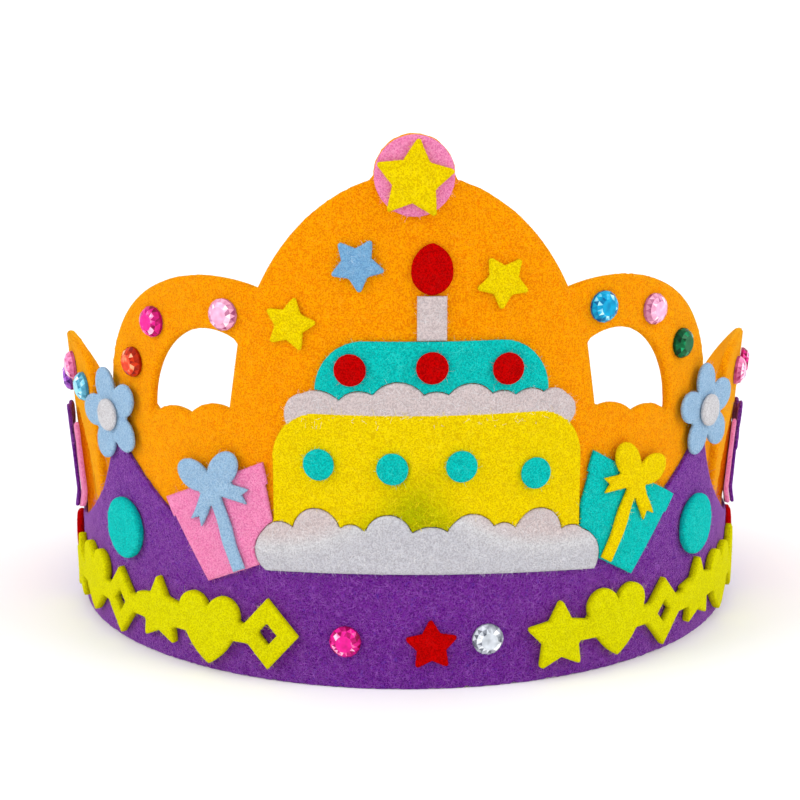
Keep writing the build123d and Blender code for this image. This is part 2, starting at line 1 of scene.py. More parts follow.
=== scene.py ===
import bpy
import numpy as np
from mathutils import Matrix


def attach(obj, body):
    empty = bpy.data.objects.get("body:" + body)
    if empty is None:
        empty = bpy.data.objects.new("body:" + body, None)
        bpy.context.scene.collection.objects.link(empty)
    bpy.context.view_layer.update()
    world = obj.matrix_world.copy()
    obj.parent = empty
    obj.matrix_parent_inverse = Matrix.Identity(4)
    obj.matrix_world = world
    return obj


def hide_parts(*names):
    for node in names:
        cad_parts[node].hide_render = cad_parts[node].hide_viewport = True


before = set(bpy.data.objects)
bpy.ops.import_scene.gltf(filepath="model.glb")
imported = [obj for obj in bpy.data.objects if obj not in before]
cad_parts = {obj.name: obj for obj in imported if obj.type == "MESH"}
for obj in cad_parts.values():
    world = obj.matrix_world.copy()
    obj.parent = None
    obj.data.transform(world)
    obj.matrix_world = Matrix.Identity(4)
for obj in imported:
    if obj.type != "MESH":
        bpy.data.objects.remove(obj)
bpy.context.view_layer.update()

# Crown panel: one sheet of stiff orange felt, 2.2 mm thick, die-cut with its dome, finial, loops and
# side lobes and bent round the head. The lobes stand free of the loops and lean outwards. The felt is
# needle-punched, so its faces are a tangle of fine fibres and its cut edges are soft and frayed.
lobe_foot = 0.024
lobe_slope = np.tan(np.radians(4.5))
lobe_turn = np.radians(60.0)


def lobe_reach(turn, height):
    """How far a lobe leans out: beyond its turn from the front, in proportion to the height over its
    foot."""
    return np.where(np.abs(turn) > lobe_turn, np.maximum(height - lobe_foot, 0) * lobe_slope, 0.0)


def round_wall(radius, middle=0.0, sag=None):
    """Ways to and from the unrolled wall. Along is the turn round the crown's axis from the middle times
    the radius, height is Z and depth is the distance from the axis less the lobes' lean. On the way back,
    the depth is less what the felt sags there."""
    def unroll(spots):
        turn = np.arctan2(spots[:, 0], -spots[:, 1])
        depth = np.hypot(spots[:, 0], spots[:, 1]) - lobe_reach(turn, spots[:, 2])
        return ((turn - middle + np.pi) % (2 * np.pi) - np.pi) * radius, spots[:, 2], depth

    def wrap(along, height, depth):
        turn = along / radius + middle
        reach = depth + lobe_reach((turn + np.pi) % (2 * np.pi) - np.pi, height)
        if sag:
            reach = reach - sag(turn, height)
        return np.stack([reach * np.sin(turn), -reach * np.cos(turn), height], -1)

    return unroll, wrap


merge_scale = 1e7


def node_triangles(node):
    """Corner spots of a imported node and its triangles. Spots that agree to a tenth of a micrometre are
    merged."""
    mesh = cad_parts[node].data
    spots = np.empty(len(mesh.vertices) * 3)
    mesh.vertices.foreach_get("co", spots)
    mesh.calc_loop_triangles()
    corners = np.empty(len(mesh.loop_triangles) * 3, np.int64)
    mesh.loop_triangles.foreach_get("vertices", corners)
    merged, place = np.unique(np.round(spots.reshape(-1, 3) * merge_scale), axis=0, return_inverse=True)
    return merged / merge_scale, place.reshape(-1)[corners].reshape(-1, 3)


def open_edges(edges, count):
    """Edges that only one face has, from all faces' edges in their order round the face."""
    return edges[~np.isin(edges[:, 0] * count + edges[:, 1], edges[:, 1] * count + edges[:, 0])]


def face_edges(faces):
    """Edges of faces in their order round each face."""
    return np.stack([faces, np.roll(faces, -1, 1)], -1).reshape(-1, 2)


face_share = 0.48


def cut_line(node, unroll, face=None):
    """Cut line of a felt piece on the unrolled wall, as the starts and ends of its short segments: the open
    edges of the triangles within a share of the thickness from the outer face. Also gives the depths of
    the inner and the outer face."""
    spots, triangles = node_triangles(node)
    along, height, depth = unroll(spots)
    outer = depth.max() if face is None else face
    shown = triangles[(np.abs(depth[triangles] - outer) < face_share * (outer - depth.min())).all(1)]
    edges = face_edges(shown)
    rim = open_edges(edges[edges[:, 0] != edges[:, 1]], len(spots))
    flat = np.stack([along, height], 1)
    return flat[rim[:, 0]], flat[rim[:, 1]], depth.min(), outer


tiny = 1e-12
pairs_at_once = 1500000


def cut_distance(spots, starts, ends):
    """Distance of flat spots from a cut line, positive inside it, and the nearest spot on it. The distance
    is the shortest to any segment; a spot is inside if a level line from it crosses the cut an odd
    number of times."""
    run = ends - starts
    square = np.maximum((run ** 2).sum(1), tiny ** 2)
    rise = np.where(np.abs(run[:, 1]) > tiny, run[:, 1], tiny)
    distance = np.empty(len(spots))
    nearest = np.empty_like(spots)
    for block in np.array_split(np.arange(len(spots)), 1 + len(spots) * len(starts) // pairs_at_once):
        here = spots[block][:, None]
        share = np.clip(((here - starts) * run).sum(2) / square, 0, 1)
        foot = starts + share[..., None] * run
        gap = ((here - foot) ** 2).sum(2)
        pick = gap.argmin(1)
        rows = np.arange(len(block))
        spans = (starts[:, 1] > here[..., 1]) != (ends[:, 1] > here[..., 1])
        crossing = starts[:, 0] + (here[..., 1] - starts[:, 1]) * run[:, 0] / rise
        inside = (spans & (here[..., 0] < crossing)).sum(1) % 2 == 1
        distance[block] = np.sqrt(gap[rows, pick]) * np.where(inside, 1, -1)
        nearest[block] = foot[rows, pick]
    return distance, nearest


corner_turn = np.radians(35.0)


def sharp_corners(starts, ends):
    """Spots where the cut line turns by more than a corner's turn from one segment to the next."""
    keys = np.round(np.concatenate([starts, ends]) * merge_scale)
    _, spot = np.unique(keys, axis=0, return_inverse=True)
    spot = spot.reshape(2, -1)
    following = np.zeros(spot.max() + 1, np.int64)
    following[spot[0]] = np.arange(len(starts))
    run = (ends - starts) / np.maximum(np.linalg.norm(ends - starts, axis=1), tiny)[:, None]
    return ends[(run * run[following[spot[1]]]).sum(1) < np.cos(corner_turn)]


grid_margin = 1.5
sliver_share = 0.1


def cut_grid(starts, ends, pitch):
    """Flat sheet inside a cut line: a square grid whose spots nearest the line are moved onto it and its
    corners, without the slivers that this leaves. Gives the spots, how far each lies inside the cut, and
    the quads and triangles between."""
    low = np.minimum(starts.min(0), ends.min(0)) - grid_margin * pitch
    high = np.maximum(starts.max(0), ends.max(0)) + grid_margin * pitch
    sides = [np.arange(low[axis], high[axis], pitch) for axis in (0, 1)]
    grid = np.stack(np.meshgrid(*sides, indexing="ij"), -1)
    spots = grid.reshape(-1, 2).copy()
    inset, nearest = cut_distance(spots, starts, ends)
    near = np.abs(inset) < pitch / 2
    kept = inset > -pitch / 2
    spots[near] = nearest[near]
    inset[near] = 0
    rim = np.flatnonzero(near)
    corners = sharp_corners(starts, ends)
    if len(corners):
        spots[rim[((spots[rim][:, None] - corners) ** 2).sum(2).argmin(0)]] = corners
    number = np.arange(len(spots)).reshape(grid.shape[:2])
    cells = np.stack([number[:-1, :-1], number[1:, :-1], number[1:, 1:], number[:-1, 1:]], -1)
    cells = cells.reshape(-1, 4)
    whole = kept[cells].sum(1)
    quads = cells[whole == 4]
    halves = cells[whole == 3]
    triangles = np.take_along_axis(halves, (kept[halves].argmin(1)[:, None] + np.arange(1, 4)) % 4, 1)
    faces = []
    for group in (quads, triangles):
        one = spots[group[:, 2]] - spots[group[:, 0]]
        two = spots[group[:, -1]] - spots[group[:, 1]]
        twice = one[:, 0] * two[:, 1] - one[:, 1] * two[:, 0]
        faces.append(group[twice > sliver_share * pitch ** 2])
    used, place = np.unique(np.concatenate([group.ravel() for group in faces]), return_inverse=True)
    quads = place[:faces[0].size].reshape(-1, 4)
    triangles = place[faces[0].size:].reshape(-1, 3)
    return spots[used], inset[used], quads, triangles


def join_faces(name, spots, faces, smooth=True):
    """Object at the origin from an array of spots and arrays of faces."""
    mesh = bpy.data.meshes.new(name)
    mesh.from_pydata(spots.tolist(), [], [face for group in faces for face in group.tolist()])
    mesh.polygons.foreach_set("use_smooth", np.full(len(mesh.polygons), smooth))
    mesh.update()
    piece = bpy.data.objects.new(name, mesh)
    bpy.context.scene.collection.objects.link(piece)
    return piece


finishes = {}


def dress(piece, node, slot):
    """Give a piece the finish of its slot and put it in the place of a node."""
    piece.data.materials.append(finishes[slot])
    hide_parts(node)
    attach(piece, "root")


loose = {}
fibre_spots = 4
fibre_bend = 0.45
fibre_arch = 0.85 * np.pi
fibre_halves = (0.2, 0.5)
fibre_taper = 0.6
floor_clearance = 0.0001


def shed_fibres(slot, wrap, spots, depth, turns, length, lift, thick, chance):
    """Loose fibres as bent ribbons: each runs from its spot along its turn, bends to one side with the
    square of the way along and rises as part of a sine wave, getting thinner to its end."""
    way = np.linspace(0, 1, fibre_spots)
    heading = np.stack([np.cos(turns), np.sin(turns)], 1)
    across = np.stack([-heading[:, 1], heading[:, 0]], 1)
    bend = chance.normal(0, fibre_bend, len(spots))[:, None] * way ** 2
    path = spots[:, None] + length[:, None, None] * (
        way[:, None] * heading[:, None] + bend[..., None] * across[:, None])
    rise = depth[:, None] + lift[:, None] * np.sin(fibre_arch * way)
    half = thick * chance.uniform(*fibre_halves, len(spots))[:, None] * (1 - fibre_taper * way)
    sides = [path + sign * half[..., None] * across[:, None] for sign in (1, -1)]
    ribbon = np.stack(
        [wrap(side[..., 0], np.maximum(side[..., 1], floor_clearance), rise) for side in sides], 2)
    loose.setdefault(slot, []).append(ribbon.reshape(-1, 3))


fuzz_lengths = (0.0008, 0.0030)
fuzz_least = 0.0004
fuzz_overhang = 1.5
fuzz_sink = 0.00003
fuzz_lifts = (0.00004, 0.00022)
fuzz_thick = 0.00008


def shed_face(slot, wrap, spots, depth, room, chance):
    """Loose fibres lying on a felt's outer face, shorter where there is less room to the cut."""
    count = len(spots)
    length = np.minimum(chance.uniform(*fuzz_lengths, count), fuzz_least + fuzz_overhang * room)
    shed_fibres(
        slot, wrap, spots, depth - fuzz_sink, chance.uniform(0, 2 * np.pi, count), length,
        chance.uniform(*fuzz_lifts, count), fuzz_thick, chance)


fray_spread = 0.8
fray_shape = 1.3
fray_length = 0.0002
fray_least = 0.0001
fray_lift = 0.0001
fray_thick = 0.00006


def shed_edge(slot, wrap, spots, depth, turns, chance):
    """Short fibres standing out of a felt's cut edge, most of them very short and a few long."""
    count = len(spots)
    shed_fibres(
        slot, wrap, spots, depth, turns + chance.normal(0, fray_spread, count),
        chance.gamma(fray_shape, fray_length, count) + fray_least, chance.normal(0, fray_lift, count),
        fray_thick, chance)


def felt_rim(spots, quads, triangles):
    """Rim of a flat sheet: its open edges, the spots on them, the places of the edges' ends among these, and
    the way out of the sheet at each, which is the sum of its two edges' normals, made one long."""
    brim = open_edges(np.concatenate([face_edges(quads), face_edges(triangles)]), len(spots))
    rim, rows = np.unique(brim, return_inverse=True)
    rows = rows.reshape(-1, 2)
    run = spots[brim[:, 1]] - spots[brim[:, 0]]
    outward = np.zeros((len(rim), 2))
    for end in (0, 1):
        np.add.at(outward, rows[:, end], np.stack([run[:, 1], -run[:, 0]], 1))
    return brim, rim, rows, outward / np.maximum(np.linalg.norm(outward, axis=1), tiny)[:, None]


cut_swell = 0.00002
cut_fray = 0.4
cut_fall = 1.6
fuzz_inset = 0.0003
fray_density = 2600.0
fray_levels = (0.1, 0.9)
fray_root = 0.0001
mm_per_metre = 1000


def lay_felt(node, slot, wall, rests_on, pitch, rounding, fuzz, held="laid", marks=None):
    """Felt piece cut from a flat sheet and laid to the wall twice, as front and back. Towards the cut both
    faces fall off as a quarter ellipse, and a frayed edge of one more row joins them. Fuzz is the number
    of loose fibres on a square millimetre, and marks says for each spot what lies below it."""
    unroll, wrap = wall
    starts, ends, inner, outer = cut_line(node, unroll)
    spots, inset, quads, triangles = cut_grid(starts, ends, pitch)
    count = len(spots)
    brim, rim, rows, outward = felt_rim(spots, quads, triangles)
    chance = np.random.default_rng(sum(node.encode()))
    frayed = spots[rim] + outward * (cut_swell + cut_fray * rounding * chance.random(len(rim)))[:, None]
    swell = np.clip(inset / (cut_fall * rounding), 0, 1)
    drop = rounding * (1 - np.sqrt(1 - (1 - swell) ** 2))
    front = wrap(spots[:, 0], spots[:, 1], outer - drop)
    back = wrap(spots[:, 0], spots[:, 1], inner + drop)
    edge = wrap(frayed[:, 0], frayed[:, 1], np.full(len(rim), 0.5 * (inner + outer)))
    left, right = brim.T
    left_edge, right_edge = 2 * count + rows.T
    piece = join_faces(node + "_felt", np.concatenate([front, back, edge]), [
        quads, triangles, quads[:, ::-1] + count, triangles[:, ::-1] + count,
        np.stack([right, left, left_edge, right_edge], 1),
        np.stack([right_edge, left_edge, left + count, right + count], 1)])
    if marks:
        values = marks(spots)
        layer = piece.data.attributes.new("mark", "FLOAT", "POINT")
        layer.data.foreach_set("value", np.concatenate([values, values, values[rim]]).astype(np.float32))
    dress(piece, node, slot)
    inner_spots = np.flatnonzero(inset > fuzz_inset)
    picks = chance.choice(inner_spots, int(fuzz * len(inner_spots) * (pitch * mm_per_metre) ** 2))
    scattered = spots[picks] + chance.uniform(-0.5, 0.5, (len(picks), 2)) * pitch
    shed_face(slot, wrap, scattered, outer - drop[picks], inset[picks], chance)
    picks = chance.integers(0, len(rim), int(fray_density * len(rim) * pitch))
    levels = inner + (outer - inner) * chance.uniform(*fray_levels, len(picks))
    turns = np.arctan2(outward[picks, 1], outward[picks, 0])
    shed_edge(slot, wrap, spots[rim][picks] - outward[picks] * fray_root, levels, turns, chance)


def tint(red, green, blue):
    """Linear colour, with alpha, of a colour given as 0 to 255 per channel."""
    share = np.array([red, green, blue]) / 255
    linear = np.where(share > 0.04045, ((share + 0.055) / 1.055) ** 2.4, share / 12.92)
    return (*linear.tolist(), 1.0)


def put_node(tree, kind, inputs=None, **settings):
    """New shader node with its settings and unlinked inputs."""
    made = tree.nodes.new(kind)
    for name, value in settings.items():
        setattr(made, name, value)
    for name, value in (inputs or {}).items():
        made.inputs[name].default_value = value
    return made


# Tangle of felt, one node group for all felts: grain of fibre ends, mottling, curved hairs and odd flecks
tangle = bpy.data.node_groups.new("felt tangle", "ShaderNodeTree")
for name, kind in (
        ("Felt", "NodeSocketColor"), ("Shade", "NodeSocketColor"), ("Hair", "NodeSocketColor"),
        ("Fleck", "NodeSocketColor"), ("Hairiness", "NodeSocketFloat"), ("Flecks", "NodeSocketFloat")):
    tangle.interface.new_socket(name=name, in_out="INPUT", socket_type=kind)
for name, kind in (("Colour", "NodeSocketColor"), ("Height", "NodeSocketFloat")):
    tangle.interface.new_socket(name=name, in_out="OUTPUT", socket_type=kind)
given = put_node(tangle, "NodeGroupInput")
result = put_node(tangle, "NodeGroupOutput")
coords = put_node(tangle, "ShaderNodeTexCoord")
wire = tangle.links.new


def felt_noise(scale, detail, distortion=0.0):
    """Noise over the felt at so many cells a metre."""
    made = put_node(tangle, "ShaderNodeTexNoise", {
        "Scale": scale, "Detail": detail, "Roughness": 0.6, "Distortion": distortion})
    wire(coords.outputs["Object"], made.inputs["Vector"])
    return made.outputs["Fac"]


def felt_math(operation, first, second):
    """One operation on two values, each a socket or a number."""
    made = put_node(tangle, "ShaderNodeMath", operation=operation)
    for socket, value in zip(made.inputs, (first, second)):
        if isinstance(value, (int, float)):
            socket.default_value = value
        else:
            wire(value, socket)
    return made.outputs[0]


def felt_range(value, low, high, start=0.0, end=1.0):
    """Value taken from one range to another and kept inside it."""
    made = put_node(tangle, "ShaderNodeMapRange", interpolation_type="SMOOTHSTEP")
    for name, limit in (("From Min", low), ("From Max", high), ("To Min", start), ("To Max", end)):
        made.inputs[name].default_value = limit
    wire(value, made.inputs["Value"])
    return made.outputs["Result"]


# Sockets of a Mix node that hold its two colours and the result
mix_first, mix_second, mix_result = 6, 7, 2


def felt_mix(share, first, second):
    """Mix of two colours by a share."""
    made = put_node(tangle, "ShaderNodeMix", data_type="RGBA")
    wire(share, made.inputs["Factor"])
    wire(first, made.inputs[mix_first])
    wire(second, made.inputs[mix_second])
    return made.outputs[mix_result]


def hair_lines(scale, thin, distortion):
    """Curved hairs: where a bent noise passes through its middle value."""
    noise = felt_noise(scale, 1.0, distortion)
    off = felt_math("ABSOLUTE", felt_math("SUBTRACT", noise, 0.5), 0.0)
    return felt_range(off, 0.0, thin, start=1.0, end=0.0)


grain = felt_noise(scale=2800, detail=1.0)
mottle = felt_noise(scale=420, detail=2.0)
long_hairs = hair_lines(scale=560, thin=0.03, distortion=1.6)
short_hairs = hair_lines(scale=1000, thin=0.04, distortion=2.2)
hairs = felt_math("MAXIMUM", long_hairs, short_hairs)
patchy = felt_math("ADD", felt_math("MULTIPLY", grain, 0.85), felt_math("MULTIPLY", mottle, 0.15))
lit = felt_range(patchy, low=0.40, high=0.58)
colour = felt_mix(lit, given.outputs["Shade"], given.outputs["Felt"])
colour = felt_mix(felt_math("MULTIPLY", hairs, given.outputs["Hairiness"]), colour, given.outputs["Hair"])
specks = felt_range(felt_noise(scale=1400, detail=1.0, distortion=0.6), low=0.62, high=0.72)
colour = felt_mix(felt_math("MULTIPLY", specks, given.outputs["Flecks"]), colour, given.outputs["Fleck"])
wire(colour, result.inputs["Colour"])
height = felt_math("ADD", felt_math("MULTIPLY", grain, 0.7), felt_math("MULTIPLY", hairs, 0.3))
wire(felt_math("ADD", height, felt_math("MULTIPLY", mottle, 0.3)), result.inputs["Height"])


def new_finish(name, roughness, gloss):
    """New material, its node tree and its surface shader, with an even roughness and gloss."""
    finish = bpy.data.materials.new(name)
    finish.use_nodes = True
    surface = finish.node_tree.nodes["Principled BSDF"]
    surface.inputs["Roughness"].default_value = roughness
    surface.inputs["Specular IOR Level"].default_value = gloss
    return finish, finish.node_tree, surface


hair_tints = {}


def felt_finish(slot, felt, shade, hair, fleck, hairiness=0.3, flecks=0.2, below=(), gleam=None):
    """Material of one felt: the tangle's colour and relief on a dull surface with a sheen of fibre ends,
    strong where the felt has a gleam of its own. Where a piece carries marks, its colour is darkened by
    what lies below it: by the first tint where the mark is over zero, by the second where it is under."""
    hair_tints[slot] = (hair, felt)
    finishes[slot], tree, surface = new_finish(slot, roughness=0.95, gloss=0.02)
    fibres = put_node(tree, "ShaderNodeGroup", node_tree=tangle)
    for name, value in (("Felt", felt), ("Shade", shade), ("Hair", hair), ("Fleck", fleck)):
        fibres.inputs[name].default_value = tint(*value)
    fibres.inputs["Hairiness"].default_value = hairiness
    fibres.inputs["Flecks"].default_value = flecks
    shown = fibres.outputs["Colour"]
    for seen, sign in zip(below, (1.0, -1.0)):
        marks = put_node(tree, "ShaderNodeAttribute", attribute_name="mark")
        share = put_node(tree, "ShaderNodeMath", {1: sign}, operation="MULTIPLY", use_clamp=True)
        blend = put_node(tree, "ShaderNodeMix", data_type="RGBA", blend_type="MULTIPLY")
        blend.inputs[mix_second].default_value = tint(*seen)
        tree.links.new(marks.outputs["Fac"], share.inputs[0])
        tree.links.new(share.outputs[0], blend.inputs["Factor"])
        tree.links.new(shown, blend.inputs[mix_first])
        shown = blend.outputs[mix_result]
    relief = put_node(tree, "ShaderNodeBump", {"Strength": 0.7, "Distance": 0.0003})
    tree.links.new(fibres.outputs["Height"], relief.inputs["Height"])
    tree.links.new(relief.outputs["Normal"], surface.inputs["Normal"])
    tree.links.new(shown, surface.inputs["Base Color"])
    surface.inputs["Sheen Weight"].default_value = 1.0 if gleam else 0.5
    surface.inputs["Sheen Roughness"].default_value = 0.3
    surface.inputs["Sheen Tint"].default_value = tint(*(gleam or hair))


felt_finish(
    "felt_orange", (247, 159, 0), (227, 119, 0), (255, 180, 24), (206, 84, 0),
    hairiness=0.25, flecks=0.3, gleam=(255, 214, 60))
panel_face = 0.0845
lay_felt(
    "crown_panel", "felt_orange", round_wall(panel_face), ["headband"],
    pitch=0.0010, rounding=0.00045, fuzz=1.0, held="stretched")

# Headband: a strap of purple felt, 1 mm thick, cut with three pointed peaks along its front and glued
# round the foot of the panel. Behind the head its ends lie over each other and close with tape.
felt_finish(
    "felt_purple", (107, 32, 140), (74, 13, 107), (166, 100, 196), (62, 46, 160),
    hairiness=0.45, flecks=0.4, gleam=(220, 160, 236))
band_face = 0.0856
strap_height = 0.022
band_half = 0.0005
band_middle = band_face - band_half
foot_height = 0.001
front_turn = 1.42
starts, ends, _, _ = cut_line("headband", round_wall(1.0)[0], band_face)
upper = (starts[:, 1] > foot_height) & (np.abs(starts[:, 0]) < front_turn)
order = np.argsort(starts[upper, 0])
edge_turns, edge_heights = starts[upper][order].T


def band_edge(turn):
    """Height of the band's upper edge at a turn from the front."""
    return np.interp(turn, edge_turns, edge_heights, strap_height, strap_height)


sag_start = 0.0006
sag_run = 0.006


def sag_off_band(turn, height):
    """How far felt sinks from the band to the panel: from nothing just over the band's edge to the band's
    thickness a run higher, along a smooth step."""
    way = np.clip((height - band_edge(turn) - sag_start) / sag_run, 0, 1)
    return 2 * band_half * way * way * (3 - 2 * way)


overlap_rise = 0.0029
strap_outer = band_middle + overlap_rise
bend_radius = 0.040
overlap = 0.022
overlap_half = 0.5 * overlap / band_middle
bend_run = np.sqrt(overlap_rise * (strap_outer + band_middle - 2 * bend_radius))
bend_turn = np.arctan2(bend_run, band_middle - bend_radius)
lead_in = 0.0194
leaving = np.pi - overlap_half - bend_turn - lead_in / strap_outer
side_peak = np.abs(edge_turns[edge_heights.argmax()])
circle_steps = (200, 90, 90, 146)
bend_steps = (18, 16, 46)


def plan_way(turn):
    """Direction out of the crown in plan at a turn from the front."""
    return np.stack([np.sin(turn), -np.cos(turn)], -1)


def strap_path():
    """Middle line of the strap in plan with the directions across it: round the head from the hidden end to
    where the strap leaves the circle, straight on, round a smaller bend and along the outer circle."""
    knots = (-np.pi - overlap_half, -side_peak, 0.0, side_peak, leaving)
    circle = np.concatenate([
        np.linspace(first, last, steps, False)
        for first, last, steps in zip(knots[:-1], knots[1:], circle_steps)])
    run = np.linspace(0, bend_run, bend_steps[0], False)[:, None]
    onward = np.array([np.cos(leaving), np.sin(leaving)])
    start = band_middle * plan_way(leaving)
    bend = np.linspace(leaving, leaving + bend_turn, bend_steps[1], False)
    last = np.linspace(leaving + bend_turn, np.pi + overlap_half, bend_steps[2])
    spots = np.concatenate([
        band_middle * plan_way(circle), start + run * onward,
        start + bend_run * onward + bend_radius * (plan_way(bend) - plan_way(leaving)),
        strap_outer * plan_way(last)])
    turns = np.concatenate([circle, np.full(bend_steps[0], leaving), bend, last])
    heights = np.where(np.arange(len(turns)) < len(circle), band_edge(turns), strap_height)
    return spots, plan_way(turns), heights


profile_rows = 34
cut_spots = 5
cut_rise = 0.00022
cut_flatness = 0.6


def strap_profile():
    """Section of the strap as (across, share of height, rise): up the front, round the upper cut, down the
    back and round the lower cut. The cuts are flattened half circles."""
    rows = np.linspace(0, 1, profile_rows)
    side = np.full(profile_rows, band_half)
    turn = np.linspace(0, np.pi, cut_spots + 2)[1:-1]
    bulge = np.sin(turn) ** cut_flatness * cut_rise
    return np.concatenate([
        np.stack([side, rows, 0 * rows], 1), np.stack([band_half * np.cos(turn), 0 * turn + 1, bulge], 1),
        np.stack([-side, rows[::-1], 0 * rows], 1),
        np.stack([-band_half * np.cos(turn), 0 * turn, -bulge], 1)])


path, ways, tops = strap_path()
section = strap_profile()
chance = np.random.default_rng(11)
foot_fray = 0.00014
head_fray = 0.00008
feet = cut_rise + foot_fray * np.abs(chance.normal(size=len(path)))
heads = tops - cut_rise + head_fray * chance.normal(size=len(path))
level = feet[:, None] + section[:, 1] * (heads - feet)[:, None] + section[:, 2]
plan = path[:, None] + section[:, 0][:, None] * ways[:, None]
spots = np.concatenate([plan, level[..., None]], -1).reshape(-1, 3)
number = np.arange(len(spots)).reshape(len(path), len(section))
turned = np.roll(number, -1, 1)
walls = np.stack([number[:-1], number[1:], turned[1:], turned[:-1]], -1).reshape(-1, 4)
front_rows = np.arange(profile_rows - 1)
back_foot = 2 * profile_rows + cut_spots - 1
back_rows = back_foot - front_rows
end_rows = np.stack([front_rows, front_rows + 1, back_rows - 1, back_rows], 1)
upper_cut = np.arange(profile_rows - 1, profile_rows + cut_spots + 1)
lower_cut = np.append(np.arange(back_foot, len(section)), 0)
caps = []
for end, step in ((0, 1), (-1, -1)):
    caps += [number[end][rows][:, ::step] for rows in (end_rows, upper_cut[None], lower_cut[None])]
headband = join_faces("headband_felt", spots, [walls] + caps)
dress(headband, "headband", "felt_purple")
band_wrap = round_wall(band_face)[1]
on_circle = sum(circle_steps)
band_fuzz = 26000
band_fray = 1600
band_fray_depths = (0.0001, 0.0009)
picks = chance.integers(0, on_circle, band_fuzz)
turns = np.arctan2(path[:, 0], -path[:, 1])
spread = np.stack([turns[picks] * band_face, chance.random(len(picks)) * tops[picks]], 1)
room = np.minimum(spread[:, 1], tops[picks] - spread[:, 1])
shed_face("felt_purple", band_wrap, spread, np.full(len(picks), band_face), room, chance)
for share, heading in ((1.0, np.pi / 2), (0.0, 0.0)):
    picks = chance.integers(0, on_circle, band_fray)
    rims = np.stack([turns[picks] * band_face, share * tops[picks]], 1)
    shed_edge(
        "felt_purple", band_wrap, rims, band_face - chance.uniform(*band_fray_depths, len(picks)),
        np.full(len(picks), heading), chance)

# Closure: a patch of hook tape on the hidden end of the strap and one of loop tape on the end over it,
# each a woven nylon tape glued to the felt and pressed together.
felt_finish(
    "hook_tape", (196, 193, 188), (162, 158, 152), (222, 220, 215), (140, 138, 134), hairiness=0.4)
felt_finish(
    "loop_tape", (208, 205, 198), (180, 176, 168), (232, 230, 226), (160, 158, 152), hairiness=0.7)
tape_face = 0.0865
tape_wall = round_wall(tape_face, middle=np.pi)
for node, slot in (("hook_patch", "hook_tape"), ("loop_patch", "loop_tape")):
    lay_felt(node, slot, tape_wall, ["headband"], pitch=0.0005, rounding=0.0001, fuzz=0.1)

# Cake: thin felts cut to fit edge to edge, a teal and a yellow tier, each over a scalloped white cream,
# with round dots, a candle and a flame glued on. The lower half lies over the peak of the band, whose
# purple shows a little through the yellow and the white.
felt_finish("felt_teal", (4, 194, 186), (0, 156, 152), (60, 220, 212), (0, 124, 128))
felt_finish(
    "felt_white", (207, 206, 209), (181, 178, 182), (234, 232, 234), (190, 181, 187),
    hairiness=0.35, below=((238, 239, 245), (255, 234, 229)))
felt_finish(
    "felt_yellow", (236, 210, 0), (210, 174, 0), (250, 230, 26), (190, 142, 0),
    below=((170, 206, 190),))
felt_finish("felt_red", (194, 0, 1), (152, 0, 0), (210, 10, 10), (118, 0, 0))
low_radius = 0.0851
low_wall = round_wall(low_radius)
high_radius = 0.0862
high_wall = round_wall(high_radius, sag=sag_off_band)
blur_shifts = np.linspace(-0.005, 0.005, 9)[:, None]
blur_run = 0.006
blur_start = 0.9
band_share = 0.85
panel_share = 0.8
both_span = 1.9


def over_band(spots):
    """Share of the band below a felt: full where it lies under it and none off it, falling over a run of
    height round the band's edge, as the mean of some shifts to both sides."""
    edge = band_edge((spots[:, 0] + blur_shifts) / high_radius)
    return band_share * np.clip((edge - spots[:, 1]) / blur_run + blur_start, 0, 1).mean(0)


def over_both(spots):
    """The band's share, stretched, where it lies under a felt, and the panel's, below zero, in the rest."""
    return both_span * over_band(spots) - panel_share


def over_panel(spots):
    """The panel's share, below zero, everywhere."""
    return np.full(len(spots), -panel_share)


trim = dict(pitch=0.0005, rounding=0.0002, fuzz=1.2)
small = dict(pitch=0.0004, rounding=0.0002, fuzz=1.2)
lay_felt("upper_tier", "felt_teal", low_wall, ["crown_panel"], **trim)
lay_felt("upper_cream", "felt_white", low_wall, ["crown_panel"], **trim, marks=over_panel)
lay_felt("lower_tier", "felt_yellow", high_wall, ["headband", "crown_panel"], **trim, marks=over_band)
lay_felt("lower_cream", "felt_white", high_wall, ["headband"], **trim, marks=over_both)
for number in (1, 2, 3):
    lay_felt(f"upper_dot_{number}", "felt_red", low_wall, ["upper_tier"], **small)
for number in (1, 2, 3, 4):
    lay_felt(f"lower_dot_{number}", "felt_teal", high_wall, ["lower_tier"], **small)
lay_felt("candle", "felt_white", low_wall, ["crown_panel"], **small, marks=over_panel)
lay_felt("flame", "felt_red", low_wall, ["crown_panel"], **small)

# Gifts: a tapered felt box with a lid, and over it a bow cut in one with the ribbon that runs down the box.
# The two in front stand beside the cake, the other two on the side lobes.
felt_finish("felt_pink", (238, 140, 184), (218, 104, 156), (248, 176, 210), (194, 78, 134))
felt_finish(
    "felt_blue", (154, 187, 214), (126, 161, 196), (188, 213, 232), (108, 138, 188),
    below=((255, 255, 255), (183, 226, 246)))
for name, box_felt, bow_felt in (
        ("gift_left", "felt_pink", "felt_blue"), ("gift_right", "felt_teal", "felt_yellow"),
        ("side_gift_left", "felt_pink", "felt_purple"), ("side_gift_right", "felt_pink", "felt_purple")):
    lay_felt(name + "_box", box_felt, high_wall, ["headband", "crown_panel"], **trim)
    lay_felt(name + "_bow", bow_felt, high_wall, [name + "_box"], **small)

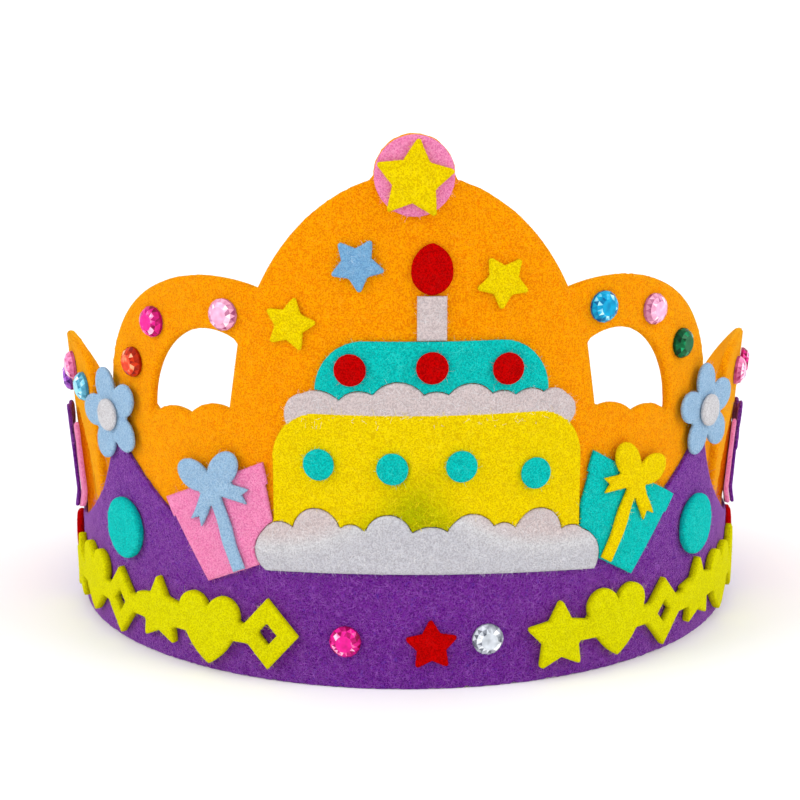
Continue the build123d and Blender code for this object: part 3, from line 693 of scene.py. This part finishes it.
# Finial disc and stars: a pink disc with a yellow star on the finial, and small felt stars glued to the
# dome and to the middle of the band. The panel dulls the pale blue one.
lay_felt("finial_disc", "felt_pink", low_wall, ["crown_panel"], **trim)
lay_felt("blue_star", "felt_blue", low_wall, ["crown_panel"], **small, marks=over_panel)
for node, slot, carrier in (
        ("finial_star", "felt_yellow", "finial_disc"), ("yellow_star_left", "felt_yellow", "crown_panel"),
        ("yellow_star_right", "felt_yellow", "crown_panel"), ("band_star", "felt_red", "headband")):
    lay_felt(node, slot, low_wall, [carrier], **small)

# Flowers: stiff pale blue felt cut with round petals, flat, so that their back petals stand off the wall.
# Each has a white eye.


def flat_wall(turn, slope=0.0):
    """Ways to and from a flat plane that faces a turn from the front and leans out by a slope: along it, up
    it and out from it."""
    along = np.array([np.cos(turn), np.sin(turn), 0.0])
    outward = np.array([np.sin(turn), -np.cos(turn), -slope]) / np.hypot(1, slope)
    upward = np.cross(outward, along)

    def unroll(spots):
        return spots @ along, spots @ upward, spots @ outward

    def wrap(aside, height, depth):
        return aside[..., None] * along + height[..., None] * upward + depth[..., None] * outward

    return unroll, wrap


for name, turn in (("left", np.radians(-50.0)), ("right", np.radians(48.0))):
    facing = flat_wall(turn)
    lay_felt(f"flower_{name}", "felt_blue", facing, ["headband"], **trim)
    lay_felt(f"flower_eye_{name}", "felt_white", facing, [f"flower_{name}"], **small)

# Pads: round buttons of thick felt, teal in front and red at the sides, punched with soft edges and glued
# flat to the band.
thick = dict(pitch=0.0005, rounding=0.0004, fuzz=1.2)
for node, slot in (
        ("pad_left", "felt_teal"), ("pad_right", "felt_teal"),
        ("side_pad_left", "felt_red"), ("side_pad_right", "felt_red")):
    lay_felt(node, slot, low_wall, ["headband"], **thick)

# Garlands: a row of stars, hearts and diamonds cut in one strip from thick yellow-green felt and glued
# along each side of the band.
felt_finish("felt_lime", (220, 216, 0), (192, 184, 0), (238, 236, 28), (162, 152, 0))
for node in ("garland_left", "garland_right"):
    lay_felt(node, "felt_lime", low_wall, ["headband"], pitch=0.00045, rounding=0.00025, fuzz=1.2)

# Gems: round flat-backed stones of clear tinted acrylic, moulded with a table and rows of facets, foiled
# behind and glued down. A ring of corners is its reach and rise, as shares of the stone's, and its twist.
gem_turns = 16
gem_radius = 0.0036
gem_rings = np.array([(1.0, 0.0, 0.0), (1.0, 0.30, 0.0), (0.82, 0.74, 0.5), (0.54, 1.0, 0.0)])
# Painted glints of the facets, painted reflections of the foil: one value for the wall and the base, ranges
# for the lower, upper and table facets, and how far a noise cloud moves them
wall_painted_glint = 0.2
lower_painted_glint = (0.0, 0.7)
upper_painted_glint = (0.1, 1.0)
table_painted_glint = (0.4, 0.7)
cloud_share = 0.7
bright_place = 0.72


def cut_gem(node):
    """Cut stone on its spot: rings of corners, every second ring turned by half a step, joined by triangular
    facets and closed by a flat table, with one value per facet for its painted glint, a painted reflection
    of the foil behind it."""
    spots, _ = node_triangles(node)
    turn = np.arctan2(spots[:, 0].mean(), -spots[:, 1].mean())
    unroll, wrap = flat_wall(turn, lobe_slope if abs(turn) > lobe_turn else 0.0)
    aside, height, depth = unroll(spots)
    base = depth.min()
    reach, rise, twist = (gem_rings[:, column:column + 1] for column in range(3))
    angles = (np.arange(gem_turns) + twist) * 2 * np.pi / gem_turns
    rings = wrap(
        0.5 * (aside.max() + aside.min()) + gem_radius * reach * np.cos(angles),
        0.5 * (height.max() + height.min()) + gem_radius * reach * np.sin(angles),
        base + (depth.max() - base) * rise + 0 * angles)
    number = np.arange(rings.shape[0] * gem_turns).reshape(-1, gem_turns)
    turned = np.roll(number, -1, 1)
    facets = [
        np.stack([number[0], turned[0], turned[1], number[1]], 1),
        np.stack([number[1], turned[1], number[2]], 1), np.stack([turned[1], turned[2], number[2]], 1),
        np.stack([number[2], turned[2], turned[3]], 1), np.stack([number[2], turned[3], number[3]], 1),
        number[3][None], number[0][None, ::-1]]
    gem = join_faces(node + "_stone", rings.reshape(-1, 3), facets, False)
    chance = np.random.default_rng(sum(node.encode()))
    # Painted glint of each facet, a painted reflection of the foil: even on the wall and the base, at random
    # on the other rows
    painted_glint = np.concatenate([
        np.full(gem_turns, wall_painted_glint), chance.uniform(*lower_painted_glint, 2 * gem_turns),
        chance.uniform(*upper_painted_glint, 2 * gem_turns), chance.uniform(*table_painted_glint, 1), [wall_painted_glint]])
    layer = gem.data.attributes.new("painted_glint", "FLOAT", "FACE")
    layer.data.foreach_set("value", painted_glint.astype(np.float32))
    return gem


def gem_finish(slot, deep, bright, painted_highlight):
    """Clear tinted acrylic over foil, with painted reflections: each facet has a colour between a deep one,
    which is painted shade, a bright one and a near-white painted highlight, by its painted glint and a noise
    cloud over it, under a hard gloss."""
    finishes[slot], tree, surface = new_finish(slot, roughness=0.08, gloss=0.14)
    coords = put_node(tree, "ShaderNodeTexCoord")
    # Painted glint per facet, moved by a noise cloud, picks a colour from painted shade to a painted
    # highlight
    painted_glint = put_node(tree, "ShaderNodeAttribute", attribute_name="painted_glint")
    cloud = put_node(tree, "ShaderNodeTexNoise", {"Scale": 700.0, "Detail": 1.0})
    tree.links.new(coords.outputs["Object"], cloud.inputs["Vector"])
    uneven = put_node(
        tree, "ShaderNodeMath", {1: cloud_share, 2: -0.5 * cloud_share}, operation="MULTIPLY_ADD")
    tree.links.new(cloud.outputs["Fac"], uneven.inputs[0])
    share = put_node(tree, "ShaderNodeMath", operation="ADD")
    tree.links.new(painted_glint.outputs["Fac"], share.inputs[0])
    tree.links.new(uneven.outputs[0], share.inputs[1])
    ramp = put_node(tree, "ShaderNodeValToRGB")
    ramp.color_ramp.elements[0].color = tint(*deep)
    ramp.color_ramp.elements[1].color = tint(*painted_highlight)
    ramp.color_ramp.elements.new(bright_place).color = tint(*bright)
    tree.links.new(share.outputs[0], ramp.inputs["Fac"])
    tree.links.new(ramp.outputs["Color"], surface.inputs["Base Color"])


# Gem colours: the deep one is painted shade on dark facets, the bright one the stone's tint, and the last a
# near-white painted highlight
for slot, deep, bright, painted_highlight in (
        ("gem_pale_pink", (150, 66, 112), (252, 180, 214), (255, 240, 248)),
        ("gem_magenta", (120, 0, 50), (240, 30, 150), (255, 200, 230)),
        ("gem_orange", (110, 6, 0), (226, 58, 12), (252, 172, 124)),
        ("gem_blue", (0, 60, 124), (0, 176, 224), (196, 246, 252)),
        ("gem_green", (0, 40, 18), (0, 104, 58), (14, 156, 100)),
        ("gem_light_blue", (30, 110, 150), (130, 216, 240), (240, 252, 255)),
        ("gem_pink", (150, 30, 90), (248, 140, 192), (255, 225, 240)),
        ("gem_purple", (54, 6, 96), (172, 90, 214), (235, 200, 250)),
        ("gem_clear", (70, 76, 88), (222, 228, 236), (255, 255, 255))):
    gem_finish(slot, deep, bright, painted_highlight)
for node, slot in (
        ("loop_gem_left_1", "gem_pale_pink"), ("loop_gem_left_2", "gem_magenta"),
        ("loop_gem_left_3", "gem_orange"), ("loop_gem_right_1", "gem_blue"),
        ("loop_gem_right_2", "gem_pale_pink"), ("loop_gem_right_3", "gem_green"),
        ("side_gem_left_1", "gem_light_blue"), ("side_gem_left_2", "gem_pink"),
        ("side_gem_left_3", "gem_purple"), ("side_gem_right_1", "gem_pink"),
        ("side_gem_right_2", "gem_magenta"), ("side_gem_right_3", "gem_purple"),
        ("band_gem_left", "gem_magenta"), ("band_gem_right", "gem_clear")):
    dress(cut_gem(node), node, slot)

# Loose fibres: hairs pulled out of the felt's faces and cut edges, one tangle for each colour of felt,
# paler than the felt because light passes through them.


def drifting_finish(name, roughness, scale, detail, stops):
    """Dull material whose colour drifts between two, each at its value of a noise of so many cells a
    metre."""
    finish, tree, surface = new_finish(name, roughness, gloss=0.1)
    coords = put_node(tree, "ShaderNodeTexCoord")
    drift = put_node(tree, "ShaderNodeTexNoise", {"Scale": scale, "Detail": detail})
    tree.links.new(coords.outputs["Object"], drift.inputs["Vector"])
    ramp = put_node(tree, "ShaderNodeValToRGB")
    for stop, (place, colour) in zip(ramp.color_ramp.elements, stops):
        stop.position = place
        stop.color = colour
    tree.links.new(drift.outputs["Fac"], ramp.inputs["Fac"])
    tree.links.new(ramp.outputs["Color"], surface.inputs["Base Color"])
    return finish


for slot, ribbons in loose.items():
    corners = np.concatenate(ribbons)
    rows = np.arange(len(corners)).reshape(-1, fibre_spots, 2)
    strips = np.stack([rows[:, :-1, 0], rows[:, :-1, 1], rows[:, 1:, 1], rows[:, 1:, 0]], -1).reshape(-1, 4)
    hair = join_faces(slot + "_fibres", corners, [strips])
    pale, full = hair_tints[slot]
    hair.data.materials.append(drifting_finish(
        slot + " hair", roughness=0.7, scale=500.0, detail=1.0,
        stops=((0.35, tint(*full)), (0.65, tint(*pale)))))
    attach(hair, "root")

# Floor: a wide sheet of pale paper under the crown, which curves up behind it. Its white is faintly
# uneven.
floor_reach = 4.0
floor_back = 1.6
floor_bend = 0.8
floor_rise = 2.4
floor_steps = 13
bend = np.linspace(0, np.pi / 2, floor_steps)
curve = np.stack([floor_back + floor_bend * np.sin(bend), floor_bend * (1 - np.cos(bend))], 1)
sweep = np.concatenate([[[-floor_reach, 0.0]], curve, [[floor_back + floor_bend, floor_rise]]])
left, right = (np.insert(sweep, 0, side, 1) for side in (-floor_reach, floor_reach))
rows = np.arange(2 * len(sweep)).reshape(-1, 2)
strips = np.stack([rows[:-1, 0], rows[:-1, 1], rows[1:, 1], rows[1:, 0]], 1)
floor = join_faces("floor", np.stack([left, right], 1).reshape(-1, 3), [strips])
floor.data.materials.append(drifting_finish(
    "pale floor", roughness=0.9, scale=6.0, detail=2.0,
    stops=((0.0, (0.95, 0.95, 0.95, 1)), (1.0, (0.97, 0.97, 0.97, 1)))))

# Studio: an even white sky, and a broad soft lamp at each side of the crown, in front of it and higher.
scene = bpy.context.scene
scene.view_settings.view_transform = "Standard"
sky = bpy.data.worlds.new("soft sky")
sky.use_nodes = True
sky.node_tree.nodes["Background"].inputs["Color"].default_value = (1.0, 1.0, 1.0, 1)
sky.node_tree.nodes["Background"].inputs["Strength"].default_value = 1.0
scene.world = sky
lamp_spread = np.radians(30.0)
lamp_tilt = np.radians(60.0)
for name, energy, turn in (("left lamp", 1.00, -70.0), ("right lamp", 0.88, 70.0)):
    lamp = bpy.data.lights.new(name, "SUN")
    lamp.energy = energy
    lamp.angle = lamp_spread
    shown = bpy.data.objects.new(name, lamp)
    shown.rotation_euler = (lamp_tilt, 0, np.radians(turn))
    scene.collection.objects.link(shown)

# Camera: a little higher than the crown and almost straight in front of it, looking slightly down.
lens = bpy.data.cameras.new("camera")
lens.lens = 77.4
lens.sensor_width = 36.0
camera = bpy.data.objects.new("camera", lens)
camera.location = (-0.01106, -0.44987, 0.1477)
camera.rotation_euler = (np.radians(77.5), 0, np.radians(-1.25))
scene.collection.objects.link(camera)
scene.camera = camera
